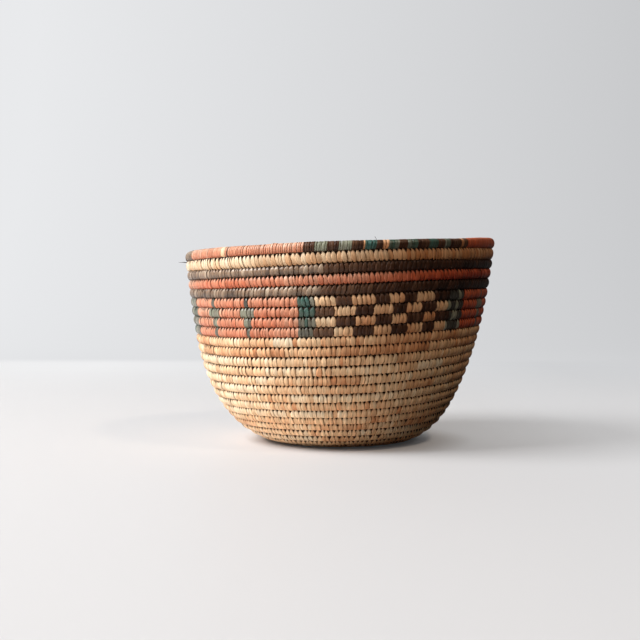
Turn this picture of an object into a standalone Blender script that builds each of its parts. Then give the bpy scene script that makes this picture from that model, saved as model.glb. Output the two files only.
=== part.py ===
"""A coiled basket: one grass coil wound from the middle of the base up to the rim, its rows bound
with split leaf. The lower rows are natural. The rows under the rim are bound in dyed leaf, each
dyed stretch being a sleeve of its own round the grass coil."""

import math

import bpy
import bmesh
from mathutils import Vector

# The coil
ROW_PITCH = 0.0070  # from the middle of one row to the middle of the next
ROW_GAP = 0.00045  # air between neighbouring rows
COIL_THICKNESS = 0.0066  # through the wall
COIL_FLAT = 0.0040  # the flat that the coil stands on in the base, and shows on the wall
TIP_OUTER_RADIUS = 0.0026  # how far the coil's first tip reaches from the middle of the base
TIP_WIDTH_SHARE = 0.32  # the first tip's width, as a share of the coil's
TIP_TURNS = 0.75  # how much of the first turn swells from the tip to the full coil
TAIL_WIDTH_SHARE = 0.4
TAIL_TURNS = 0.125
STATIONS_PER_TURN = 24

# The rows, from the middle of the base up
BASE_TURNS = 7.25
HEEL_ROWS = 4
LOWER_WALL_ROWS = 5
MIDDLE_WALL_ROWS = 5
BAND_ROWS = 4
STRIPES = ("lower_brown_row", "red_row", "upper_brown_row", "cream_row")
RIM_ROWS = 1
PLAIN_TURNS = BASE_TURNS + HEEL_ROWS + LOWER_WALL_ROWS + MIDDLE_WALL_ROWS
TURNS = PLAIN_TURNS + BAND_ROWS + len(STRIPES) + RIM_ROWS
SAME_PLACE = 1e-9  # turns nearer to each other than this are one place on the coil

# The basket's outline, as the slope of the wall along the way from the middle to the rim
FLAT_BASE_RADIUS = 0.0428
HEEL_LENGTH = 0.0452  # the way over which about two thirds of the rise is turned
WALL_SLOPE_DEGREES = 85.7
OUTLINE_STEP = 0.00025
RIM_LIFT = 0.0045  # the rim stands this much higher on the right than in the middle
BODY_SWAY = 0.0026  # the lower wall leans this far to the left
SWAY_POWER = 2  # puts the lean low on the wall

# The pattern, in degrees round the basket from the front towards the right
PATTERN_REPEATS = 3
RED_BLOCK_DEGREES = 56
CHECKED_BLOCK_START_DEGREES = -12.9

# The bound sleeves of dyed leaf
LEAF_THICKNESS = 0.0009  # a leaf strip and its lap
SLEEVE_CLEARANCE = 0.00035  # between a sleeve and the grass coil in it
STRETCH_END_GAP = 0.0003

# Finishes: linear colours, and the leaf's roughness
STRAW = (0.56, 0.36, 0.21)
GRASS = (0.38, 0.26, 0.14)
CREAM = (0.66, 0.46, 0.28)
RED = (0.42, 0.13, 0.07)
BROWN = (0.06, 0.035, 0.022)
GREEN = (0.07, 0.11, 0.085)
LEAF_ROUGHNESS = 0.55

HALF_ROW = (ROW_PITCH - ROW_GAP) / 2
HALF_THICKNESS = COIL_THICKNESS / 2
HALF_FLAT = COIL_FLAT / 2
REPEAT_DEGREES = 360 / PATTERN_REPEATS
SEAM_DEGREES = CHECKED_BLOCK_START_DEGREES - RED_BLOCK_DEGREES + 2 * REPEAT_DEGREES
BLOCK_TURNS = (RED_BLOCK_DEGREES / 360, (REPEAT_DEGREES - RED_BLOCK_DEGREES) / 360)


def outline():
    """Points (way, radius, height, slope) of the coil's middle, from the middle of the base up."""
    points = []
    way = radius = 0
    height = HALF_THICKNESS
    longest = ROW_PITCH * (TURNS + 1)
    while way < longest:
        rising = max(way - FLAT_BASE_RADIUS, 0) / HEEL_LENGTH
        slope = math.radians(WALL_SLOPE_DEGREES) * (1 - math.exp(-rising))
        points.append((way, radius, height, slope))
        way += OUTLINE_STEP
        radius += OUTLINE_STEP * math.cos(slope)
        height += OUTLINE_STEP * math.sin(slope)
    return points


OUTLINE = outline()


def on_outline(way):
    """(radius, height, slope) at a way along the outline, between the points on each side."""
    place = max(way, 0) / OUTLINE_STEP
    index = min(int(place), len(OUTLINE) - 2)
    share = place - index
    _, *low = OUTLINE[index]
    _, *high = OUTLINE[index + 1]
    radius, height, slope = (a + (b - a) * share for a, b in zip(low, high))
    return radius + min(way, 0), height, slope


def handmade(point):
    """A true turned form made into the real one, whose rim and wall aren't quite true."""
    radius, height, _ = on_outline(ROW_PITCH * TURNS)
    up = min(point.z / height, 1)
    lift = 1 + RIM_LIFT / height * point.x / radius
    lean = BODY_SWAY * math.sin(math.pi * (1 - up) ** SWAY_POWER)
    return Vector((point.x - lean, point.y, point.z * lift))


def coil_point(turn, across, out):
    """A place on the coil: turns from its start, across the row towards the rim, and outwards."""
    start_way = TIP_OUTER_RADIUS - HALF_ROW
    radius, height, slope = on_outline(start_way + ROW_PITCH * turn)
    radius += across * math.cos(slope) + out * math.sin(slope)
    height += across * math.sin(slope) - out * math.cos(slope)
    height = max(height, 0)  # the corners that roll under at the heel stop at the floor
    angle = math.radians(SEAM_DEGREES) + math.tau * (turn - TURNS)
    return handmade(Vector((radius * math.sin(angle), -radius * math.cos(angle), height)))


def section(inset):
    """The coil's six corners as (across, out), with each side moved in by the inset."""
    side = math.hypot(HALF_THICKNESS, HALF_ROW - HALF_FLAT)
    lean = side / HALF_THICKNESS
    corner = HALF_ROW - inset * lean
    flat = HALF_FLAT - inset * (lean - (HALF_ROW - HALF_FLAT) / HALF_THICKNESS)
    thick = HALF_THICKNESS - inset
    return [(corner, 0), (flat, thick), (-flat, thick), (-corner, 0), (-flat, -thick), (flat, -thick)]


def station_ring(station, inset):
    """The section where it crosses one station, smaller at the coil's first tip and at its tail."""
    turn = station / STATIONS_PER_TURN
    size, to_rim, outwards = 1, 0, 0
    if turn < TIP_TURNS:
        size = TIP_WIDTH_SHARE + (1 - TIP_WIDTH_SHARE) * turn / TIP_TURNS
        to_rim, outwards = (1 - size) * HALF_ROW, (1 - size) * HALF_THICKNESS
    into_tail = (turn - TURNS + TAIL_TURNS) / TAIL_TURNS
    if into_tail > 0:
        size = 1 - (1 - TAIL_WIDTH_SHARE) * into_tail
        to_rim = (size - 1) * HALF_ROW
    return [
        coil_point(turn, across * size + to_rim, out * size + outwards)
        for across, out in section(inset)
    ]


def ring(turn, inset):
    """The section anywhere: between two stations it lies on the straight stretch that joins them."""
    place = turn * STATIONS_PER_TURN
    station = math.floor(place + SAME_PLACE)
    share = max(place - station, 0)
    low, high = station_ring(station, inset), station_ring(station + 1, inset)
    return [a.lerp(b, share) for a, b in zip(low, high)]


def turns_between(start, end):
    """The start, each station on the way and the end."""
    first = math.floor(start * STATIONS_PER_TURN + SAME_PLACE) + 1
    last = math.ceil(end * STATIONS_PER_TURN - SAME_PLACE)
    return [start, *(i / STATIONS_PER_TURN for i in range(first, last)), end]


def end_gap(turn):
    """The gap left between the end of one stretch of the coil and the next, in turns."""
    radius, _, _ = on_outline(ROW_PITCH * turn)
    return STRETCH_END_GAP / (math.tau * radius)


def material(name, colour):
    made = bpy.data.materials.get(name) or bpy.data.materials.new(name)
    made.use_nodes = True
    made.diffuse_color = (*colour, 1)
    shader = made.node_tree.nodes["Principled BSDF"]
    shader.inputs["Base Color"].default_value = (*colour, 1)
    shader.inputs["Roughness"].default_value = LEAF_ROUGHNESS
    return made


def loft(name, turns, insets, finish, basket):
    """One tube along the coil: solid with one inset, a sleeve with an outer and an inner one."""
    mesh = bmesh.new()
    skins = [[[mesh.verts.new(p) for p in ring(t, inset)] for t in turns] for inset in insets]
    for skin, rings in enumerate(skins):
        for low, high in zip(rings, rings[1:]):
            for i in range(len(low)):
                j = (i + 1) % len(low)
                corners = (low[i], low[j], high[j], high[i])
                mesh.faces.new(corners[::-1] if skin else corners)
    for end, facing in ((0, -1), (-1, 1)):
        outer = skins[0][end]
        if len(skins) == 1:
            mesh.faces.new(outer[::facing])
            continue
        inner = skins[1][end]
        for i in range(len(outer)):
            j = (i + 1) % len(outer)
            mesh.faces.new((outer[i], outer[j], inner[j], inner[i])[::facing])
    bmesh.ops.recalc_face_normals(mesh, faces=mesh.faces)
    data = bpy.data.meshes.new(name)
    mesh.to_mesh(data)
    mesh.free()
    data.materials.append(finish)
    data.shade_smooth()
    data.set_sharp_from_angle(angle=math.radians(40))
    made = bpy.data.objects.new(name, data)
    made.parent = basket
    bpy.context.collection.objects.link(made)
    return made


def print_least_gap(name, turns, inset):
    """How near the tube comes to its own next turn, measured on its corner points."""
    rings = [ring(turn, inset) for turn in turns]
    least = min(
        (a - b).length
        for i, low in enumerate(rings)
        for high in rings[i + STATIONS_PER_TURN - 1 : i + STATIONS_PER_TURN + 2]
        for a in low
        for b in high
    )
    print(f"{name}: {turns[-1] - turns[0]:.2f} turns, least gap to itself {least * 1000:.2f} mm")


def grass_coil(name, start, end, inset, finish, basket):
    turns = turns_between(start, end - end_gap(end))
    loft(name, turns, [inset], finish, basket)
    print_least_gap(name, turns, inset)


def sleeve(name, start, end, finish, basket):
    turns = turns_between(start, end - end_gap(end))
    loft(name, turns, [0, LEAF_THICKNESS], finish, basket)


def natural_rows(basket):
    """The base and the lower wall: the coil with its natural binding, as one round of leaf."""
    straw = material("natural_leaf", STRAW)
    turn = 0
    for name, turns in (
        ("base_coil", BASE_TURNS),
        ("heel_coil", HEEL_ROWS),
        ("lower_wall_coil", LOWER_WALL_ROWS),
        ("middle_wall_coil", MIDDLE_WALL_ROWS),
    ):
        grass_coil(name, turn, turn + turns, 0, straw, basket)
        turn += turns


def inner_coil(basket):
    """The grass coil inside the dyed sleeves, up to where the tail tapers."""
    inset = LEAF_THICKNESS + SLEEVE_CLEARANCE
    grass = material("grass_bundle", GRASS)
    grass_coil("upper_grass_coil", PLAIN_TURNS, TURNS - TAIL_TURNS, inset, grass, basket)


def blocks(row, first_turn, last_turn, basket):
    """Red and checked sleeves in turn round one row, which starts with a red one."""
    red, checked = material("red_leaf", RED), material("checked_leaf", GREEN)
    start = first_turn
    for repeat in range(PATTERN_REPEATS):
        middle = start + BLOCK_TURNS[0]
        end = min(middle + BLOCK_TURNS[1], last_turn)
        sleeve(f"{row}_red_block_{repeat + 1}", start, middle, red, basket)
        sleeve(f"{row}_checked_block_{repeat + 1}", middle, end, checked, basket)
        start = middle + BLOCK_TURNS[1]


def dyed_rows(basket):
    """The band of blocks, then the four stripes, then the rim and the coil's tail."""
    turn = PLAIN_TURNS
    for row in range(BAND_ROWS):
        blocks(f"band_row_{row + 1}", turn, turn + 1, basket)
        turn += 1
    colours = {"brown": BROWN, "red": RED, "cream": CREAM}
    for stripe in STRIPES:
        colour = stripe.split("_")[-2]
        sleeve(stripe, turn, turn + 1, material(f"{colour}_leaf", colours[colour]), basket)
        turn += 1
    tail = TURNS - TAIL_TURNS
    blocks("rim", turn, tail, basket)
    loft("coil_tail", turns_between(tail, TURNS), [0], material("checked_leaf", GREEN), basket)


def main():
    for old in list(bpy.data.objects):
        bpy.data.objects.remove(old)
    basket = bpy.data.objects.new("basket", None)
    bpy.context.collection.objects.link(basket)
    natural_rows(basket)
    inner_coil(basket)
    dyed_rows(basket)


main()
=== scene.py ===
# %% [markdown]
# # A coiled basket, stitch by stitch
#
# This basket is one long bundle of grass, wound up from the middle of its base to its rim. Every row
# is bound to the row below with strips of split leaf, some raw and some dyed. The solids of the
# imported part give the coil's route and size. Here each leaf stitch becomes a thin curved strip of
# its own, because what the eye reads on a coiled basket is the row of small leaf shapes and the
# dark holes between them. A bump map could fake that from far away, but not along the outline.

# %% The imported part
import math

import bpy
import numpy as np
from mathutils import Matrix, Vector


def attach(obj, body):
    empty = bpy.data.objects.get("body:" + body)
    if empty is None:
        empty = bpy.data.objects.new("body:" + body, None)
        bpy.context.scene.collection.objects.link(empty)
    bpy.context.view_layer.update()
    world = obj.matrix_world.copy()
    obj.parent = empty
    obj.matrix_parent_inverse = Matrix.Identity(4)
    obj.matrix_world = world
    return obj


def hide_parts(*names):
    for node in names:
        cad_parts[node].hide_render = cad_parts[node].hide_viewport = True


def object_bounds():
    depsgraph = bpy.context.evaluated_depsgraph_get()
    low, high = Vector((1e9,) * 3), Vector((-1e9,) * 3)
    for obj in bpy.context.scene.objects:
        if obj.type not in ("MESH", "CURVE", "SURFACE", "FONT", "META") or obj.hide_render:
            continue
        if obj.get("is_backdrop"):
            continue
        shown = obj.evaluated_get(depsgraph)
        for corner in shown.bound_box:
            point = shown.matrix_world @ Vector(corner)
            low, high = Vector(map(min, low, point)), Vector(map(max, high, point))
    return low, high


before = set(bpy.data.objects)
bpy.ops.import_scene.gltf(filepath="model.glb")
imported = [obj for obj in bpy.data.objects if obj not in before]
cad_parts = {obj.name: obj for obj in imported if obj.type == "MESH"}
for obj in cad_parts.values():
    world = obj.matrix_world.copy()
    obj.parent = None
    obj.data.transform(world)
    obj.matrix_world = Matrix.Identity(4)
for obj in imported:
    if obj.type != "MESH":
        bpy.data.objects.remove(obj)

cad_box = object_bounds()
print("CAD box:", cad_box)

# %% [markdown]
# ## The coil's route
#
# The coil could be drawn as a Screw modifier, but its slope changes all the way up the wall. So the
# route is a function: how far along it a point is, in turns, gives its place. The slope grows from
# flat in the base to almost upright at the rim, quickly at the heel and then ever more slowly.
# These are the solids' own sizes, so each stitch sits on its coil.

# %% The route in real sizes
ROW_PITCH, ROW_GAP = 0.0070, 0.00045  # from row to row, and the air that the solids keep between
COIL_THICKNESS = 0.0066
BASE_TURNS, HEEL_ROWS, LOWER_WALL_ROWS, MIDDLE_WALL_ROWS = 7.25, 4, 5, 5
BAND_ROWS, STRIPE_ROWS, RIM_ROWS = 4, 4, 1
PLAIN_TURNS = BASE_TURNS + HEEL_ROWS + LOWER_WALL_ROWS + MIDDLE_WALL_ROWS
TURNS = PLAIN_TURNS + BAND_ROWS + STRIPE_ROWS + RIM_ROWS
TIP_OUTER_RADIUS = 0.0026  # how far the coil's first tip reaches from the middle of the base
START_WAY = TIP_OUTER_RADIUS - (ROW_PITCH - ROW_GAP) / 2
FLAT_BASE_RADIUS, HEEL_LENGTH, WALL_SLOPE = 0.0428, 0.0452, math.radians(85.7)
SEAM_DEGREES = 171.1  # where the coil ends on the rim
ROUTE_POINTS = 1200

way = np.linspace(0, ROW_PITCH * (TURNS + 1), ROUTE_POINTS)
slope = WALL_SLOPE * (1 - np.exp(-np.maximum(way - FLAT_BASE_RADIUS, 0) / HEEL_LENGTH))
step = np.append(0, np.diff(way))
route_radius = np.cumsum(step * np.cos(slope))
route_height = np.cumsum(step * np.sin(slope)) + COIL_THICKNESS / 2


def on_route(turn):
    """Radius, height and slope of the coil's middle, for an array of turns from its start."""
    along = START_WAY + ROW_PITCH * np.asarray(turn, float)
    read = [np.interp(along, way, values) for values in (route_radius, route_height, slope)]
    return read[0] + np.minimum(along, 0), read[1], read[2]


def angle_of(turn):
    """Degrees round the basket, from the front towards the right, between -180 and 180."""
    return (SEAM_DEGREES + 360 * (np.asarray(turn) - TURNS) + 180) % 360 - 180


print("rim radius and height in mm:", [round(float(v) * 1000, 1) for v in on_route(TURNS)[:2]])

# %% [markdown]
# ## Rows that have settled
#
# A machine would lay its rows at an even pitch, but hands don't. On the real basket the rows sit up
# to about one row higher than an even spiral puts them, and each side has its own. Noise would only
# look restless, so short tables say where the rows have gone, and all pieces read them.

# %% Settled rows
MM = 0.001
# Near the base the rows are higher all round: by turn, and how many mm.
HEEL_SETTLED = (
    [0.5, 7.25, 9.75, 10.75, 11.25, 12.25, 13.25, 14.25, 17.25],
    [0, 3.6, 4.5, 4.3, 3.8, 2.6, 1.8, 1.1, 0],
)
# Three sides have their own, which fade out to left and right: degrees of the middle, half the
# width in degrees, rows from the rim, and how many mm.
SIDES_SETTLED = (
    (
        85,
        85,
        [0, 2, 6, 9, 10, 11, 12, 13, 17, 21, 26],
        [-1.2, -1.2, -0.8, 0.8, 1.4, 2.6, 3.8, 4.2, 4.0, 2.0, 0],
    ),
    (0, 40, [2, 4, 6, 8, 9.5], [0, -0.5, -0.7, -0.6, 0]),
    (-90, 55, [0, 1.5, 4, 5, 12, 16], [0, 0.8, 0.8, 2.0, 2.0, 0]),
)


def settling(turn):
    """How far each row has settled up the wall, as a hand sews it: at most about one row."""
    settled = np.interp(turn, *HEEL_SETTLED)
    for middle, half_width, rows, far in SIDES_SETTLED:
        beside = np.clip((angle_of(turn) - middle) / half_width, -1, 1)
        settled = settled + np.cos(beside * math.pi / 2) ** 2 * np.interp(TURNS - turn, rows, far)
    return settled * MM


print("rows near the base have settled by up to", max(HEEL_SETTLED[1]), "mm")

# %% Points on the coil
TIP_TURNS, TIP_SHARE = 0.75, 0.32  # how long the coil's first tip is, and how thin it starts
TAIL_TURNS, TAIL_SHARE = 0.125, 0.4
RIM_LIFT, BODY_SWAY, SWAY_POWER = 0.0045, 0.0026, 2  # higher on the right; leans left low down


def swelling(turn):
    """The coil's size, and its shift across the row and outwards, at its first tip and its tail."""
    tip = np.clip(turn / TIP_TURNS, 0, 1)
    tail = np.clip((turn - TURNS + TAIL_TURNS) / TAIL_TURNS, 0, 1)
    size = np.minimum(TIP_SHARE + (1 - TIP_SHARE) * tip, 1 - (1 - TAIL_SHARE) * tail)
    shift = (1 - size) * ROW_PITCH / 2
    return size, np.where(tail > 0, -shift, shift), np.where(tip < 1, shift, 0)


def coil_points(turn, across, out):
    """Places on the coil as an array of points: across the row towards the rim, and outwards."""
    size, to_rim, outwards = swelling(turn)
    across, out = across * size + to_rim + settling(turn), out * size + outwards
    radius, height, lean = on_route(turn)
    radius = radius + across * np.cos(lean) + out * np.sin(lean)
    height = np.maximum(height + across * np.sin(lean) - out * np.cos(lean), 0)
    round_ = np.radians(SEAM_DEGREES) + math.tau * (turn - TURNS)
    x, y = radius * np.sin(round_), -radius * np.cos(round_)
    top_radius, top_height, _ = on_route(TURNS)
    up = np.minimum(height / top_height, 1)
    lift = 1 + RIM_LIFT / top_height * x / top_radius
    sway = BODY_SWAY * np.sin(math.pi * (1 - up) ** SWAY_POWER)
    return np.stack([x - sway, y, height * lift], axis=-1)


print("the coil's first point:", coil_points(0.0, 0.0, 0.0))

# %% [markdown]
# ## The camera
#
# The camera stands a little lower than the rim and looks almost level, so the near rim hides most
# of the inside. Its lens is worked out from the focal length in pixels, which is what a measured
# picture gives. It turns a little to the left, and the basket lands right of the middle.

# %% Camera
FOCAL_PIXELS, PICTURE_PIXELS, SENSOR_WIDTH = 1155, 640, 36
EYE = (0.0, -0.8648, 0.1145)
RIGHT_OF_MIDDLE, EYE_LEVEL = 19.5, 34  # pixels from the picture's middle: the axis, the eye level
CLIP_START = 0.01

camera = bpy.data.objects.new("camera", bpy.data.cameras.new("camera"))
bpy.context.collection.objects.link(camera)
camera.data.sensor_width = SENSOR_WIDTH
camera.data.lens = SENSOR_WIDTH * FOCAL_PIXELS / PICTURE_PIXELS
camera.data.clip_start = CLIP_START
camera.location = EYE
camera.rotation_euler = (
    math.radians(90) - math.atan(EYE_LEVEL / FOCAL_PIXELS),
    0,
    math.atan(RIGHT_OF_MIDDLE / FOCAL_PIXELS),
)
bpy.context.scene.camera = camera
bpy.context.scene.view_settings.view_transform = "Standard"
print("lens:", round(camera.data.lens, 1), "mm")


# %% Colours and nodes
def linear(hex_colour):
    """An sRGB hex colour such as "#C9A77C" as linear RGBA."""
    parts = [int(hex_colour[i : i + 2], 16) / 255 for i in (1, 3, 5)]
    return (*(p / 12.92 if p <= 0.04045 else ((p + 0.055) / 1.055) ** 2.4 for p in parts), 1)


def add(tree, kind, links=(), values=(), **settings):
    """Adds a node. links are (input, output socket) and values (input, constant), and an input is
    its name or number. A setting with a capital, such as From_Min, is an input's constant too."""
    node = tree.nodes.new(kind)
    for name, value in settings.items():
        if name[0].isupper():
            node.inputs[name.replace("_", " ")].default_value = value
        else:
            setattr(node, name, value)
    for key, value in values:
        node.inputs[key].default_value = value
    for key, source in links:
        tree.links.new(source, node.inputs[key])
    return node


def new_material(name):
    """A material with only its output node and Principled shader, joined up."""
    made = bpy.data.materials.new(name)
    made.use_nodes = True
    return made, made.node_tree, made.node_tree.nodes["Principled BSDF"]


print("mid grey, #808080, is", round(linear("#808080")[0], 3), "as linear light")

# %% [markdown]
# ## Table and backdrop
#
# The basket stands on a pale painted table before a pale wall. Two planes would show a hard line, so
# both are one sheet with a soft bend. Paint with a satin finish mirrors almost nothing at this
# angle, hence the low specular level. Near the basket the sheet takes its shadow. Further back it
# turns into tones that only the camera sees, so the basket gets no light from them. They are paler
# on the left and darker on the right: the window's light is painted into them.

# %% What a ray sees
MIRRORED = 0.05  # how much of the plain background the leaf's sheen shows


def background_share(tree):
    """How much a ray takes of the plain background: all for the camera, and a little for sheen, or
    all of it for a ray through glass, if glass is ever added."""
    path = add(tree, "ShaderNodeLightPath")
    mirrored = add(
        tree,
        "ShaderNodeMath",
        [(0, path.outputs["Is Glossy Ray"])],
        [(1, MIRRORED)],
        operation="MULTIPLY",
    )
    seen = add(
        tree,
        "ShaderNodeMath",
        [(0, path.outputs["Is Camera Ray"]), (1, mirrored.outputs[0])],
        operation="MAXIMUM",
    )
    return add(
        tree,
        "ShaderNodeMath",
        [(0, seen.outputs[0]), (1, path.outputs["Is Transmission Ray"])],
        operation="MAXIMUM",
    ).outputs[0]


# %% Light thrown up by the table
FLOOR_SEEN = "#CECED0"  # what the camera sees of the floor
# What lights the basket from below: the white table on the left, a darker room on the right.
BOUNCE_LEFT, BOUNCE_RIGHT, BOUNCE_FROM, BOUNCE_TO = "#F8F6F3", "#35302C", -0.06, 0.115


def bounce_colour(tree, x, seen):
    """The sheet's colour: one for the camera, and for other rays white to dark from left to right."""
    rightward = add(
        tree,
        "ShaderNodeMapRange",
        [("Value", x)],
        interpolation_type="SMOOTHSTEP",
        From_Min=BOUNCE_FROM,
        From_Max=BOUNCE_TO,
    )
    upward = add(
        tree,
        "ShaderNodeMix",
        [("Factor", rightward.outputs[0])],
        [(6, linear(BOUNCE_LEFT)), (7, linear(BOUNCE_RIGHT))],
        data_type="RGBA",
    )
    return add(
        tree,
        "ShaderNodeMix",
        [("Factor", seen), (6, upward.outputs[2])],
        [(7, linear(FLOOR_SEEN))],
        data_type="RGBA",
    ).outputs[2]


print("the light from below darkens over", round(BOUNCE_TO - BOUNCE_FROM, 3), "m")

# %% Even tones further back
TABLE_END, WALL_START = 0.82, 0.96  # the soft line between the pale table and the wall behind
# Each is x in metres on the left and on the right, and the colours there; darker on the right as a painted
# fall of the window's light.
TABLE_TONES = (-0.35, 0.3, "#F0F0F1", "#D0D1D3")
WALL_TONES = (-0.75, 0.75, "#E9EAEC", "#C9CACC")


def even_tones(tree, x, y):
    """The far part of the table and the wall, as light of their own, with the window's fall painted in from
    left to right.
    """
    tones = []
    for left, right, left_colour, right_colour in (TABLE_TONES, WALL_TONES):
        sideways = add(tree, "ShaderNodeMapRange", [("Value", x)], From_Min=left, From_Max=right)
        tint = add(
            tree,
            "ShaderNodeMix",
            [("Factor", sideways.outputs[0])],
            [(6, linear(left_colour)), (7, linear(right_colour))],
            data_type="RGBA",
        )
        tones.append(tint.outputs[2])
    edge = add(
        tree,
        "ShaderNodeMapRange",
        [("Value", y)],
        interpolation_type="SMOOTHSTEP",
        From_Min=TABLE_END,
        From_Max=WALL_START,
    )
    far = add(
        tree,
        "ShaderNodeMix",
        [("Factor", edge.outputs[0]), (6, tones[0]), (7, tones[1])],
        data_type="RGBA",
    )
    return add(tree, "ShaderNodeEmission", [("Color", far.outputs[2])]).outputs[0]


print("table and wall meet over", round(WALL_START - TABLE_END, 2), "m")

# %% A paler shadow
# The shadow is kept as pale as daylight in a white room leaves it: more so from x = GLOW_FROM to
# GLOW_TO, and hardly at all right under the basket.
FLOOR_GLOW, GLOW_LEFT, GLOW_RIGHT, GLOW_FROM, GLOW_TO = "#DEDFE1", 0.35, 0.62, 0.06, 0.2
UNDER_FROM, UNDER_TO, UNDER_GLOW = 0.055, 0.1, 0.1  # metres from the axis, and the share left there


def glow_share(tree, place, x):
    """How much of the near floor is its own pale light."""
    paler = add(
        tree,
        "ShaderNodeMapRange",
        [("Value", x)],
        From_Min=GLOW_FROM,
        From_Max=GLOW_TO,
        To_Min=GLOW_LEFT,
        To_Max=GLOW_RIGHT,
    )
    away = add(tree, "ShaderNodeVectorMath", [(0, place)], operation="LENGTH")
    under = add(
        tree,
        "ShaderNodeMapRange",
        [("Value", away.outputs["Value"])],
        From_Min=UNDER_FROM,
        From_Max=UNDER_TO,
        To_Min=UNDER_GLOW,
    )
    return add(
        tree, "ShaderNodeMath", [(0, under.outputs[0]), (1, paler.outputs[0])], operation="MULTIPLY"
    ).outputs[0]


print(f"the shadow keeps {1 - GLOW_LEFT:.0%} of its depth on the left, {1 - GLOW_RIGHT:.0%} on the right")

# %% Sheet material
SATIN_ROUGHNESS, SATIN_SPECULAR = 0.5, 0.2
FADE_START, FADE_END = 0.15, 0.8  # y, where the lit sheet gives way to the even tones


def sheet_material():
    """Satin paint, lit near the basket and even further back."""
    made, tree, shader = new_material("satin_white_paint")
    shader.inputs["Roughness"].default_value = SATIN_ROUGHNESS
    shader.inputs["Specular IOR Level"].default_value = SATIN_SPECULAR
    seen = background_share(tree)
    place = add(tree, "ShaderNodeNewGeometry").outputs["Position"]
    parts = add(tree, "ShaderNodeSeparateXYZ", [(0, place)])
    x, y = parts.outputs["X"], parts.outputs["Y"]
    tree.links.new(bounce_colour(tree, x, seen), shader.inputs["Base Color"])
    back = add(
        tree,
        "ShaderNodeMapRange",
        [("Value", y)],
        interpolation_type="SMOOTHSTEP",
        From_Min=FADE_START,
        From_Max=FADE_END,
    )
    glow = add(tree, "ShaderNodeEmission", Color=linear(FLOOR_GLOW)).outputs[0]
    shown = shader.outputs[0]
    layers = ((glow_share(tree, place, x), glow), (back.outputs[0], even_tones(tree, x, y)))
    for share, light in layers:
        share = add(tree, "ShaderNodeMath", [(0, share), (1, seen)], operation="MULTIPLY")
        links = [(0, share.outputs[0]), (1, shown), (2, light)]
        shown = add(tree, "ShaderNodeMixShader", links).outputs[0]
    output = next(node for node in tree.nodes if node.type == "OUTPUT_MATERIAL")
    tree.links.new(shown, output.inputs["Surface"])
    return made


# %% Sheet
FLOOR_HALF_WIDTH, FLOOR_FRONT, BEND_START, BEND_RADIUS, WALL_TOP = 4.0, -2.0, 1.2, 0.8, 3.0
BEND_POINTS = 24


def sweep_profile():
    """Points (y, z) of the sheet from the front edge, over the floor, round the bend, up the wall."""
    bend = [
        (BEND_START + BEND_RADIUS * math.sin(a), BEND_RADIUS * (1 - math.cos(a)))
        for a in np.linspace(0, math.pi / 2, BEND_POINTS)
    ]
    return [(FLOOR_FRONT, 0), *bend, (BEND_START + BEND_RADIUS, WALL_TOP)]


def make_floor():
    """The sheet, which is a stage and no part of the basket."""
    profile = sweep_profile()
    points = [(x, y, z) for x in (-FLOOR_HALF_WIDTH, FLOOR_HALF_WIDTH) for y, z in profile]
    count = len(profile)
    faces = [(i, count + i, count + i + 1, i + 1) for i in range(count - 1)]
    mesh = bpy.data.meshes.new("floor")
    mesh.from_pydata(points, [], faces)
    mesh.shade_smooth()
    mesh.materials.append(sheet_material())
    floor = bpy.data.objects.new("floor", mesh)
    bpy.context.collection.objects.link(floor)
    floor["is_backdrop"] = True
    print("floor:", len(faces), "strips,", mesh.materials[0].name)


make_floor()

# %% [markdown]
# ## Light
#
# A window is a big soft source, and an area lamp of its size gives the same broad light and soft
# shadow edge. It stands on the left. A small weak lamp, high at the front right, opens the dark side
# a little, and its shadow falls behind the basket. The world adds a very weak warm fill, and is a
# plain pale tone for the camera.

# %% Lamps
# Each lamp's name, place and size in metres, watts and colour.
LAMPS = (
    ("window_light", (-1.79, -0.52, 1.7), 1.4, 111, "#FFFFFF"),
    ("room_light", (1.15, -1.15, 2.2), 0.3, 18, "#FFE6CC"),
)
BASKET_MIDDLE = (0, 0, 0.07)


def area_lamp(name, place, size, power, colour):
    """A square soft lamp that faces the middle of the basket."""
    data = bpy.data.lights.new(name, "AREA")
    data.size, data.energy, data.color = size, power, linear(colour)[:3]
    lamp = bpy.data.objects.new(name, data)
    lamp.location = place
    away = np.array(place) - BASKET_MIDDLE
    lamp.rotation_euler = (math.acos(away[2] / np.linalg.norm(away)), 0, math.atan2(away[0], -away[1]))
    bpy.context.collection.objects.link(lamp)
    print(f"{name}: {power} W, {np.linalg.norm(away):.2f} m away")


for lamp in LAMPS:
    area_lamp(*lamp)

# %% World
FILL_COLOUR, FILL_STRENGTH, PLAIN_COLOUR = "#FFD9B8", 0.02, "#D8D9DB"

world = bpy.data.worlds.new("even_fill")
bpy.context.scene.world = world
world.use_nodes = True
fill = world.node_tree.nodes["Background"]
fill.inputs["Color"].default_value = linear(FILL_COLOUR)
fill.inputs["Strength"].default_value = FILL_STRENGTH
plain = add(world.node_tree, "ShaderNodeBackground", Color=linear(PLAIN_COLOUR))
shown = add(
    world.node_tree,
    "ShaderNodeMixShader",
    [(0, background_share(world.node_tree)), (1, fill.outputs[0]), (2, plain.outputs[0])],
)
output = next(node for node in world.node_tree.nodes if node.type == "OUTPUT_WORLD")
world.node_tree.links.new(shown.outputs[0], output.inputs["Surface"])
print("world fill:", FILL_STRENGTH)

# %% [markdown]
# ## Split leaf
#
# The stitches are strips split from a palm leaf: tough, slightly glossy, with fine fibres that run
# along the strip. Raw leaf dries to straw colours that change from strip to strip. Dyed leaf takes
# the dye unevenly, so each strip has its own tone too. Each strip carries two values that the
# material reads: its tone, which picks a colour from the ramp, and its place in the strip, which
# lays the fibres along it. A picture of leaf would repeat; this pattern doesn't.
# Leaf has a thin plant wax over its fibres. The default IOR of 1.5 suits wax, and a middling
# roughness with less than the usual specular level gives its soft, broken sheen.

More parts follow.
